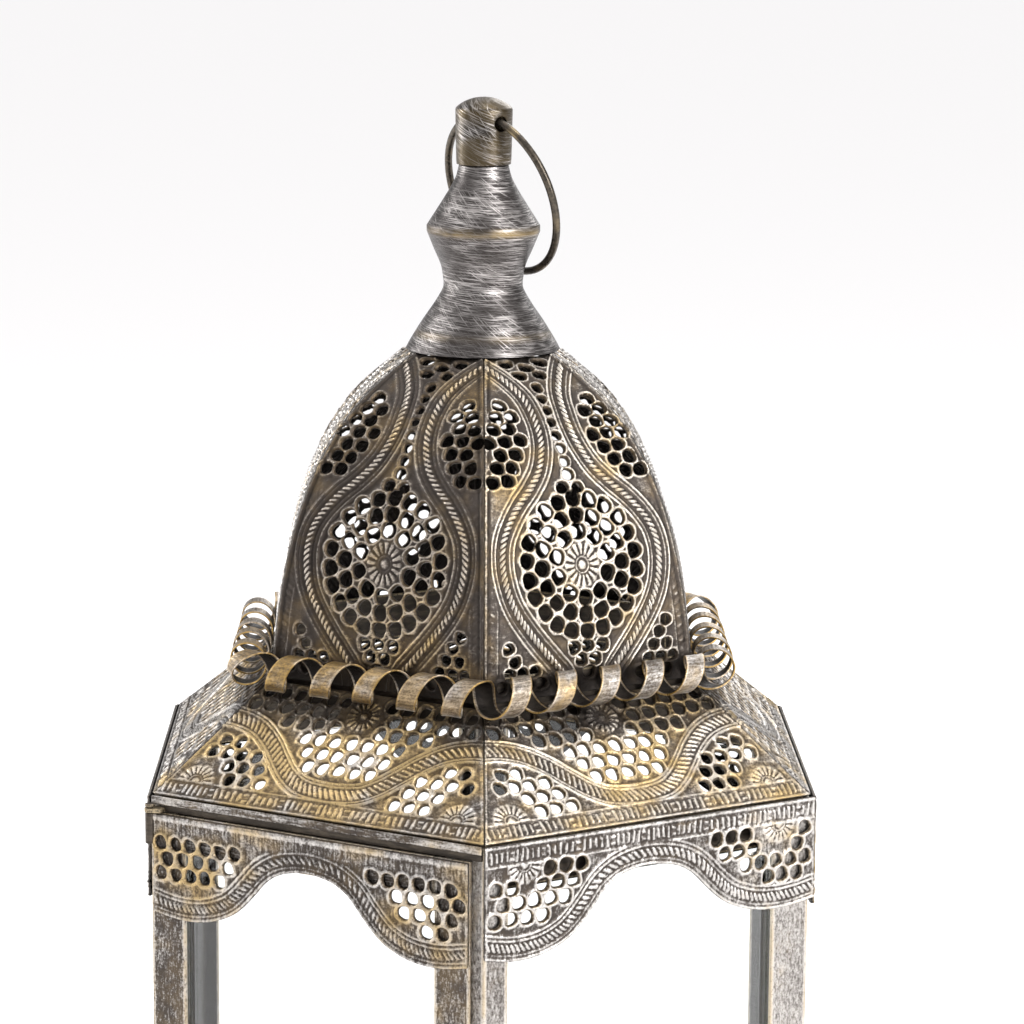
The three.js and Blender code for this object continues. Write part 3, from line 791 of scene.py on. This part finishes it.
def valance_pattern(half, plain_top):
    """A scalloped valance. The door's own has a plain rolled top in place of the border of bars."""
    shape = (1.9, 0.93, 0.97, 0.0) if plain_top else (0.2, 1.0, 0.9, -2.2)
    field_top = -7.0 if plain_top else -8.2

    def pattern(u, v):
        away, run = along_curve(u, v, valance_edge(half, *shape))
        side = half - np.abs(u)
        sheet = Sheet(u, v, np.minimum.reduce([side, -0.05 - v, away - 0.05]))
        below = smooth(-v, 6.0, 6.5)
        sheet.emboss(0.55 * ridge(away, 0.5, 0.45))
        sheet.emboss(0.4 * ridge(away, 1.7, 0.35))
        sheet.emboss(rope(away - 3.8, run, 1.35, 1.75, 0.6, 0.5 if plain_top else 0.8))
        sheet.emboss(0.5 * ridge(away, 5.85, 0.4))
        sheet.emboss(0.55 * ridge(away, 7.1, 0.4), below)
        if plain_top:
            sheet.emboss(0.5 * np.sqrt(np.clip(1 - ((v + 1.1) / 1.1) ** 2, 0, 1)))
            hatch = 0.5 + 0.5 * np.sin(5.1 * u + 1.7 * np.sin(1.3 * u))
            sheet.emboss(0.30 * smooth(-v, 0.2, 0.8) * smooth(v + 7.2, 0, 3.0) * (0.45 + 0.55 * hatch))
        else:
            sheet.emboss(0.5 * ridge(v, -0.6, 0.45))
            sheet.emboss(0.5 * ridge(v, -6.1, 0.4), smooth(away, 6.4, 7.2))
            sheet.emboss(bar_border(v + 3.4, u + 2, 1.95, 1.8))
            for sign in (-1, 1):
                sheet.emboss(rosette(u, v, (sign * 43.0, -6.3), 6.0, 18), below)
        sheet.emboss(0.4 * ridge(side, 0.5, 0.4))
        band_look = value_at(u, v, away)
        side_look = value_at(u, v, side)

        def field(x, y):
            clear = plain_top or math.hypot(abs(x) - 43.0, y + 6.3) > 7.6
            return band_look(x, y) > 9.3 and side_look(x, y) > 2.4 and y < field_top and clear

        sheet.lattice(field, 5.1, 4.4, 3.75, 3.8, (1.1, -8.4), 0.6, 0.6)
        return sheet.fields(hollows=0.6)

    return pattern


def six_times(name, mesh, finishes, numbers=range(1, 7), first_face=1):
    """Copies of one face's mesh turned about the lantern's axis, each with its own brushing."""
    for number in numbers:
        node = f"{name}_{number}"
        turn = Matrix.Rotation(math.radians(60 * (number - first_face)), 4, "Z")
        piece = add_piece(f"{node}_sheet", mesh, finishes[0], LANTERN, [node], turn)
        piece.material_slots[0].link = "OBJECT"
        piece.material_slots[0].material = finishes[(number - 1) % len(finishes)]


def grid(start, end, cell):
    return np.linspace(start, end, int(round((end - start) / cell)) + 1)


def straight_profile(foot, foot_z, top, top_z):
    points = [(foot + (top - foot) * k / 8, foot_z + (top_z - foot_z) * k / 8) for k in range(9)]
    return profile_of(np.array(points))


def panel_mesh(name, foot, profile, length, pattern, cell):
    """The sheet for one face of the dome, the shoulders or the base."""
    half = foot * TAN30 + 1
    us, vs = grid(-half, half, cell), grid(-0.4, length + 0.4, cell)
    return sheet_mesh(name, us, vs, pattern, profile, SHEET)


def valance_mesh(name, half, away, top, plain_top, cell):
    """The sheet for an upright valance of which the outer side is at the distance away."""

    def profile(v):
        flat = np.ones(np.shape(v))
        return away * flat, top + v, flat, 0 * flat

    us, vs = grid(-half - 1, half + 1, cell), grid(-35.4, 0.4, cell)
    return sheet_mesh(name, us, vs, valance_pattern(half, plain_top), profile, SHEET)


def make_sheets(cell=0.36, base_cell=0.45):
    profile, length = profile_of(dome_edge())
    pattern = dome_pattern(profile, length)
    mesh = panel_mesh("dome_sheet", DOME_FOOT, profile, length, pattern, cell)
    six_times("dome_panel", mesh, dome_metals)

    profile, length = straight_profile(SHOULDER_FOOT, EAVE + 0.15, 71.8 * COS30, SHOULDER_TOP_Z)
    pattern = swag_pattern(profile, length, 0.62)
    mesh = panel_mesh("shoulder_sheet", SHOULDER_FOOT, profile, length, pattern, cell)
    six_times("shoulder_panel", mesh, shoulder_metals)

    profile, length = straight_profile(BASE_FOOT, BASE_FOOT_Z, 111.9 * COS30, BASE_TOP_Z)
    pattern = swag_pattern(profile, length)
    mesh = panel_mesh("base_sheet", BASE_FOOT, profile, length, pattern, base_cell)
    six_times("base_panel", mesh, shoulder_metals)

    outer, top = high("valance_3", "y"), high("valance_1", "z") + 0.45
    mesh = valance_mesh("valance_sheet", (outer + 0.2) * TAN30 - 0.2, outer, top, False, cell)
    six_times("valance", mesh, valance_metals, range(1, 6), 0)

    left, right = low("door_stile_hinge", "x") + 1.8, high("door_valance", "x")
    top = high("door_valance", "z")
    mesh = valance_mesh("door_valance_sheet", (right - left) / 2, DOOR_FACE + 1.5, top, True, cell)
    add_piece("door_valance_sheet", mesh, door_valance_metal, DOOR, ["door_valance"],
              at((left + right) / 2))


# ---- pieces remade from their CAD solids, with rounded edges ----
SHARP = math.radians(25)


def refined(node, material, body, bevel=0.22, rim=0.9, flat_relief=0.16, shaded_back=False):
    """A CAD piece with rounded edges and a narrow border on each wide face, where the metal wears. Faces
    turned in towards the axis can get relief -1, so they are painted near black as shade.
    """
    bm = bmesh.new()
    bm.from_mesh(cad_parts[node].data)
    bmesh.ops.remove_doubles(bm, verts=bm.verts, dist=1e-6)
    bmesh.ops.dissolve_limit(bm, angle_limit=math.radians(1), verts=bm.verts, edges=bm.edges)
    edges = [e for e in bm.edges if len(e.link_faces) == 2 and e.calc_face_angle(0) > SHARP]
    bmesh.ops.bevel(bm, geom=edges, offset=bevel * MM, segments=2, profile=0.5,
                    affect="EDGES", clamp_overlap=True)
    relief = bm.verts.layers.float.new("relief")
    gilt = bm.verts.layers.float.new("gilt")
    for vert in bm.verts:
        vert[relief] = 1.0
        vert[gilt] = 0.6
    wide = [f for f in bm.faces if 2 * f.calc_area() / f.calc_perimeter() > 2.6 * rim * MM]
    if wide:
        bmesh.ops.inset_individual(bm, faces=wide, thickness=rim * MM, use_even_offset=True)
    for face in wide:
        middle = face.calc_center_median().xy
        # Inward faces get relief -1: painted near-black shade on the inner side.
        inward = shaded_back and face.normal.xy.dot(middle) < -0.2 * middle.length
        for vert in face.verts:
            vert[relief] = -1.0 if inward else flat_relief
            vert[gilt] = 0.0
    bmesh.ops.triangulate(bm, faces=[f for f in bm.faces if len(f.verts) > 4])
    for face in bm.faces:
        face.smooth = True
    mesh = bpy.data.meshes.new(f"{node}_refined")
    bm.to_mesh(mesh)
    bm.free()
    piece = add_piece(f"{node}_refined", mesh, material, body, [node])
    piece.modifiers.new("even_shading", "WEIGHTED_NORMAL").keep_sharp = True


def rounded(profile, radius, steps=3):
    """A closed profile with its corners rounded off."""
    corners = [Vector(p) for p in profile]
    result = []
    for before, corner, after in zip(corners[-1:] + corners[:-1], corners, corners[1:] + corners[:1]):
        to_before, to_after = before - corner, after - corner
        cut = min(radius, to_before.length * 0.45, to_after.length * 0.45)
        start = corner + to_before.normalized() * cut
        end = corner + to_after.normalized() * cut
        if corner.x < 1e-6:
            result.append(corner)
            continue
        for k in range(steps + 1):
            t = k / steps
            result.append((1 - t) ** 2 * start + 2 * t * (1 - t) * corner + t**2 * end)
    return result


def lathe(name, profile, segments, relief=None, gilt=None):
    """A turned closed mesh from a closed profile of (radius, height) in millimetres."""
    points, faces, rings = [], [], []
    heights, gold, uv = [], [], []
    for x, z in profile:
        at_axis = x < 1e-6
        ring = []
        for k in range(1 if at_axis else segments):
            angle = 2 * math.pi * k / segments
            ring.append(len(points))
            points.append((x * MM * math.cos(angle), x * MM * math.sin(angle), z * MM))
            uv.append((x * angle, z))
            heights.append(relief(x, z) if relief else 0.2)
            gold.append(gilt(x, z) if gilt else 0.0)
        rings.append(ring * segments if at_axis else ring)
    for lower, upper in zip(rings, rings[1:] + rings[:1]):
        for k in range(segments):
            after = (k + 1) % segments
            face = tuple(dict.fromkeys((lower[k], lower[after], upper[after], upper[k])))
            if len(face) > 2:
                faces.append(face)
    mesh = build_mesh(name, np.array(points), faces, uv, heights, gold)
    mesh.set_sharp_from_angle(angle=math.radians(50))
    return mesh


def loop_faces(stations, count):
    """The faces that join each station's ring of count points to the next one's, all the way round."""
    faces = []
    for station in range(stations):
        here, there = station * count, (station + 1) % stations * count
        for k in range(count):
            after = (k + 1) % count
            faces.append((here + k, there + k, there + after, here + after))
    return faces


# ---- coil ----
def coil_path(share, radius, height, rounding=7.0):
    """A point on the hexagon with rounded corners, with its outward and onward directions."""
    apothem = radius * COS30
    straight = 2 * (radius / 2 - rounding * TAN30)
    bend = rounding * math.radians(60)
    along = (share % 1.0) * 6 * (straight + bend)
    side = int(along // (straight + bend))
    rest = along - side * (straight + bend)
    turn = max(rest - straight, 0) / rounding
    facing = math.radians(side * 60 - 90)
    outward = Vector((math.cos(facing + turn), math.sin(facing + turn), 0))
    onward = Vector((-outward.y, outward.x, 0))
    middle = Vector((math.cos(facing), math.sin(facing), 0)) * (apothem - rounding)
    middle += Vector((-math.sin(facing), math.cos(facing), 0)) * (min(rest, straight) - straight / 2)
    middle += outward * rounding
    middle.z = height
    return middle, outward, onward


def face_warmth(share):
    """How golden the ribbon is along the coil: most on the door's face, least on the next one."""
    return 0.5 + 0.5 * math.cos(2 * math.pi * (share - 0.04) * 2)


def make_coil():
    """A flat ribbon wound round and round a closed path, a little unevenly."""
    turns, per_turn, width, thickness, loop = 32, 44, 6.4, 0.5, 5.55
    radius = (high("coil_garland", "y") - loop) / COS30
    height = center("coil_garland", "z")
    section = []
    for k in range(9):
        share = k / 8 * 2 - 1
        section.append((share * width / 2, 0.12 * share * share))
    section = section + [(x, y - thickness) for x, y in reversed(section)]
    chance = random.Random(11)
    lean = [chance.uniform(-0.5, 0.5) for _ in range(turns)]
    swell = [chance.uniform(-0.28, 0.12) for _ in range(turns)]
    steps = turns * per_turn
    points, relief, gilt, uv = [], [], [], []
    for step in range(steps):
        turn = step / per_turn
        blend = 0.5 - 0.5 * math.cos(math.pi * (turn % 1.0))
        this, following = int(turn) % turns, (int(turn) + 1) % turns
        drift = lean[this] * (1 - blend) + lean[following] * blend
        size = loop + swell[this] * (1 - blend) + swell[following] * blend
        middle, outward, onward = coil_path(step / steps - 0.35 / turns, radius, height)
        angle = 2 * math.pi * turn
        radial = outward * math.cos(angle) + Vector((0, 0, math.sin(angle)))
        for k, (across, lift) in enumerate(section):
            point = middle + radial * (size + lift) + onward * (across + drift)
            points.append(tuple(c * MM for c in point))
            rim = abs(across) > width / 2 - 0.1
            outer = k < 9
            # The inner side gets relief -1, which the metal paints near black: painted shade between the
            # loops.
            relief.append(1.0 if rim else (0.24 if outer else -1.0))
            gilt.append(1.0 if rim else (face_warmth(step / steps) if outer else 0.0))
            uv.append((across, turn * 38.0))
    mesh = build_mesh("coil_ribbon", np.array(points), loop_faces(steps, len(section)), uv, relief, gilt)
    piece = add_piece("coil_ribbon", mesh, coil_metal, LANTERN, ["coil_garland"])
    edge = piece.modifiers.new("round_edges", "BEVEL")
    edge.width = 0.12 * MM
    edge.segments = 2
    edge.limit_method = "ANGLE"
    edge.angle_limit = math.radians(50)


# ---- finial; its heights are above the eave, where the skirt's foot is at SKIRT_FOOT ----
SKIRT_FOOT, WAIST, RIDGE = 123.3, 143.15, 158.9
RING_PIVOT = high("finial_neck", "z") - 7.6
RING_AZIMUTH = -23
GILT_LINES = [(RIDGE, 1.0, 0.95), (128.2, 0.3, 0.8), (193.2, 0.7, 1.0), (179.2, 0.3, 0.8)]


def shell(outer, wall=1.2):
    return list(outer) + [(x - wall, z) for x, z in reversed(outer)]


def soften(points, steps):
    return [tuple(p) for p in curve_through(points, steps)]


def make_finial():
    eave = low("finial_skirt", "z") - SKIRT_FOOT
    flare = [(23, SKIRT_FOOT), (21.6, 125.9), (18.2, 131.4), (14.5, 136.8), (12.1, 141), (11.8, WAIST)]
    skirt = soften(flare, 6) + [(11.35, WAIST), (11.35, WAIST + 1.35)]
    lower = soften([(11.8, WAIST), (12.6, 148), (14.8, 153.2), (16.9, 158.4)], 6)
    upper = soften([(16.9, 160), (14.6, 163.6), (12.2, 167.4), (9.9, 171.2), (8.3, 174.4), (7.4, 177.8)], 6)

    def worn(x, z):
        """How much the turned metal is scratched bright: least just under the ridge."""
        return 1.0 - 0.45 * math.exp(-((z - eave - 151.5) / 4.5) ** 2)

    def golden(x, z):
        return max(most * math.exp(-((z - eave - line) / width) ** 2) for line, most, width in GILT_LINES)

    def turned(node, profile, metal):
        mesh = lathe(f"{node}_turned", profile, 96, worn, golden)
        return add_piece(f"{node}_turned", mesh, metal, LANTERN, [node])

    turned("finial_skirt", shell([(x, z + eave) for x, z in skirt]), finial_metal)
    turned("finial_body", shell([(x, z + eave) for x, z in lower + upper]), finial_metal)

    foot, top = low("finial_neck", "z"), high("finial_neck", "z")
    cap = top - 3.4
    wall = soften([(7.35, foot), (7.8, foot + 0.5), (8.2, foot + 1.6), (8.5, cap - 0.35)], 3)
    crown = soften([(8.35, cap + 0.15), (7.4, cap + 1.0), (5.6, cap + 2.1), (2.9, cap + 3.05), (0, top)], 4)
    inside = [(0, cap - 1.2), (7.3, cap - 1.2), (7.3, foot)]
    neck = turned("finial_neck", wall + crown + inside, neck_metal)
    drill_turn = (0, math.radians(90), math.radians(RING_AZIMUTH))
    bpy.ops.mesh.primitive_cylinder_add(vertices=40, radius=2.3 * MM, depth=0.04,
                                        location=(0, 0, RING_PIVOT * MM), rotation=drill_turn)
    drill = bpy.context.object
    cut = neck.modifiers.new("cross_hole", "BOOLEAN")
    cut.object = drill
    cut.solver = "EXACT"
    bored = bpy.data.meshes.new_from_object(neck.evaluated_get(bpy.context.evaluated_depsgraph_get()))
    neck.modifiers.clear()
    neck.data = bored
    bpy.data.objects.remove(drill)
    bored.set_sharp_from_angle(angle=math.radians(50))


def make_ring():
    """The wire ring, which hangs from the neck's cross-hole and leans out of it."""
    radius, wire, offset, lean = 24.5, 1.15, 22.7, 17.5
    around_ring, around_wire = 150, 18
    points = []
    for i in range(around_ring):
        along = 2 * math.pi * i / around_ring
        for j in range(around_wire):
            turn = 2 * math.pi * j / around_wire
            reach = radius + wire * math.cos(turn)
            points.append((reach * math.cos(along), reach * math.sin(along), wire * math.sin(turn)))
    mesh = build_mesh("carry_ring_wire", np.array(points) * MM, loop_faces(around_ring, around_wire))
    facing = Matrix.Rotation(math.radians(RING_AZIMUTH), 4, "Z")
    hanging = Matrix.Rotation(math.radians(90 + lean), 4, "X")
    place = at(z=RING_PIVOT) @ facing @ hanging @ at(y=-offset)
    add_piece("carry_ring_wire", mesh, ring_metal, RING, ["carry_ring"], place)


# ---- posts, rails, door and small hardware ----
def make_frame():
    for number in range(1, 7):
        refined(f"corner_post_{number}", post_metal, LANTERN, shaded_back=True)
    for node in ("door_stile_hinge", "door_stile_latch"):
        refined(node, stile_metal, DOOR, shaded_back=True)
    for node in ("door_rail_top", "door_rail_foot"):
        refined(node, rail_metal, DOOR)
    for node in ("header_rail", "sill_rail", "dome_collar", "floor_plate"):
        refined(node, dark_metal, LANTERN, flat_relief=0.0)
    refined("base_rim", rail_metal, LANTERN, bevel=0.35)
    for number in range(1, 6):
        refined(f"glass_pane_{number}", glass, LANTERN, bevel=0.35, rim=0.8)
    refined("door_glass", glass, DOOR, bevel=0.35, rim=0.8)
    for level in ("upper", "lower"):
        refined(f"hinge_ear_{level}", dark_metal, LANTERN, bevel=0.15)
    refined("door_hook", dark_metal, HOOK, bevel=0.18, rim=0.5)


PIN, PIN_HEAD, BARREL, BARREL_HEIGHT = 0.6, 1.4, 1.4, 9
LEAF_BACK, LEAF_FRONT = -97.06, -97.96


def add_strap(name, material, body, xs, ys, zs, soft=0.15):
    """A short flat strap with rounded edges, between pairs of limits in millimetres."""
    bm = bmesh.new()
    bmesh.ops.create_cube(bm, size=1)
    limits = np.array([xs, ys, zs]) * MM
    for vert in bm.verts:
        vert.co = Vector(limits.mean(1) + np.array(vert.co) * np.abs(limits[:, 1] - limits[:, 0]))
    bmesh.ops.bevel(bm, geom=bm.edges[:], offset=soft * MM, segments=3, profile=0.5, affect="EDGES")
    mesh = bpy.data.meshes.new(name)
    bm.to_mesh(mesh)
    bm.free()
    add_piece(name, mesh, material, body)


def make_hinges():
    """Headed pins, the rolled ends that turn on them, and the leaves that hold those to the door."""
    for level, head_on_top in (("upper", True), ("lower", False)):
        node = f"hinge_pin_{level}"
        foot, top = low(node, "z"), high(node, "z")
        shoulder = top - 1 if head_on_top else foot + 1
        first, second = (PIN, PIN_HEAD) if head_on_top else (PIN_HEAD, PIN)
        profile = [(0, foot), (first, foot), (first, shoulder), (second, shoulder), (second, top), (0, top)]
        mesh = lathe(f"{node}_turned", rounded(profile, 0.3), 32, lambda x, z: 0.7 if x > 1.2 else 0.1)
        add_piece(f"{node}_turned", mesh, dark_metal, LANTERN, [node],
                  at(center(node, "x"), center(node, "y")))

    axis = (low("hinge_pin_upper", "x") + PIN_HEAD, low("hinge_pin_upper", "y") + PIN_HEAD)

    def rolled_leaf(level, foot, leaf_end, nodes):
        top = foot + BARREL_HEIGHT
        barrel = rounded([(0.9, foot), (BARREL, foot), (BARREL, top), (0.9, top)], 0.16)
        mesh = lathe(f"hinge_barrel_{level}", barrel, 36, lambda x, z: 0.5 if x > 1.2 else 0.0)
        add_piece(f"hinge_barrel_{level}", mesh, dark_metal, DOOR, nodes, at(*axis))
        add_strap(f"hinge_tab_{level}", dark_metal, DOOR, (axis[0], leaf_end),
                  (LEAF_FRONT, LEAF_BACK), (foot + 0.1, top - 0.1))

    rolled_leaf("upper", high("door_valance", "z") - BARREL_HEIGHT, low("door_stile_hinge", "x") + 1.4,
                [])
    rolled_leaf("lower", low("door_hinge_leaf", "z"), high("door_hinge_leaf", "x"),
                ["door_hinge_leaf"])


def make_latch():
    """The rivet that the hook turns on, and the keeper that it catches."""
    height = center("hook_rivet", "z")
    inner, outer = -high("hook_rivet", "y"), -low("hook_rivet", "y")
    head = [(0, inner), (1.0, inner), (1.0, outer - 1.2), (2.3, outer - 1.2), (2.2, outer - 0.8),
            (1.6, outer - 0.25), (0.8, outer - 0.03), (0, outer)]
    mesh = lathe("hook_rivet_turned", head, 40, lambda x, z: 0.5)
    add_piece("hook_rivet_turned", mesh, post_metal, DOOR, ["hook_rivet"],
              at(center("hook_rivet", "x"), 0, height, (0, -1, 0)))
    inner, outer = -high("hook_keeper", "y"), -low("hook_keeper", "y")
    rod = rounded([(0, inner), (1.1, inner), (1.1, outer), (0, outer)], 0.4)
    mesh = lathe("hook_keeper_turned", rod, 36, lambda x, z: 0.3)
    add_piece("hook_keeper_turned", mesh, dark_metal, LANTERN, ["hook_keeper"],
              at(center("hook_keeper", "x"), 0, height, (0, -1, 0)))


def make_candle_cup():
    foot = low("candle_cup", "z")
    cup = [(0, foot), (37, foot), (40, foot + 9), (38.8, foot + 9), (35.8, foot + 1.2), (0, foot + 1.2)]
    mesh = lathe("candle_cup_turned", rounded(cup, 0.5), 96, lambda x, z: 0.9 if z > foot + 8.2 else 0.0)
    add_piece("candle_cup_turned", mesh, dark_metal, LANTERN, ["candle_cup"])


def make_header():
    """The dark fascia over the door and the rolled hem under the eave in front of it."""
    face = -(BODY_APOTHEM + 0.1)
    add_strap("door_header_fascia", dark_metal, LANTERN, (-51.0, 54.6), (face - 0.8, face),
              (EAVE - 4.4, EAVE - 0.3))
    add_strap("door_header_hem", hem_metal, LANTERN, (-54.8, 55.0),
              (face - 1.7, face - 0.9), (EAVE - 2.3, EAVE + 0.1), 0.35)


# ---- everything is made here ----
make_camera()
make_studio()
dome_metals = [
    antique_metal("dome_metal_warm", 0.34, 0.08, (0.45, 0.9, 0.5), lift=0.82, rough=0.6, silver=PEWTER,
                  catch=(0.18, 0.9)),
    antique_metal("dome_metal_bright", 0.32, 0.21, (0.45, 0.9, 0.5), warmth=0.6, lift=0.72, rough=0.6,
                  silver=WARM_SILVER),
    antique_metal("dome_metal_silver", 0.22, 0.34, (0.30, 1.2, 0.5), warmth=0.3, rough=1.2),
]
shoulder_metals = [
    antique_metal("shoulder_metal_brass", 0.68, 0.39, (0.5, 0.7, 0.6), warmth=0.7, rough=0.7),
    antique_metal("shoulder_metal_pale", 0.48, 0.38, (0.5, 0.7, 0.6), warmth=0.6, rough=0.75,
                  silver=WARM_SILVER),
    antique_metal("shoulder_metal_silver", 0.40, 0.30, (0.5, 0.7, 0.6), warmth=0.4),
]
valance_metals = [
    antique_metal("valance_metal_silver", 0.18, 0.35, (0.9, 0.4, 0.5), warmth=0.3, lift=0.45, rough=0.85),
    antique_metal("valance_metal_worn", 0.36, 0.34, (0.9, 0.4, 0.5)),
]
door_valance_metal = antique_metal("door_valance_metal", 0.44, 0.32, (0.9, 0.3, 0.5), warmth=0.6,
                                   lift=0.45, rough=0.85)
coil_metal = antique_metal("coil_metal", 0.30, 0.36, (0.22, 1.3, 0.5), warmth=0.9, lift=0.4,
                           spread=0.5, brass=RICH_BRASS)
finial_metal = turned_metal("finial_metal", 0.0, 0.08, (0.050, 0.044, 0.042, 1))
neck_metal = turned_metal("neck_metal", 0.16, 0.45, (0.026, 0.022, 0.018, 1), 0.03)
post_metal = antique_metal("post_metal", 0.12, 0.46, (1.4, 1.4, 0.5), "Object", rough=0.8, spread=0.5)
stile_metal = antique_metal("stile_metal", 0.28, 0.20, (1.5, 1.5, 0.45), "Object", warmth=0.7)
rail_metal = antique_metal("rail_metal", 0.22, 0.26, (0.14, 0.14, 2.0), "Object")
hem_metal = antique_metal("hem_metal", 0.12, 0.36, (0.12, 0.12, 1.2), "Object", warmth=0.7)
dark_metal = lacquered_steel()
ring_metal = wire_metal()
glass = clear_glass()
make_sheets()
make_coil()
make_finial()
make_ring()
make_frame()
make_header()
make_hinges()
make_latch()
make_candle_cup()
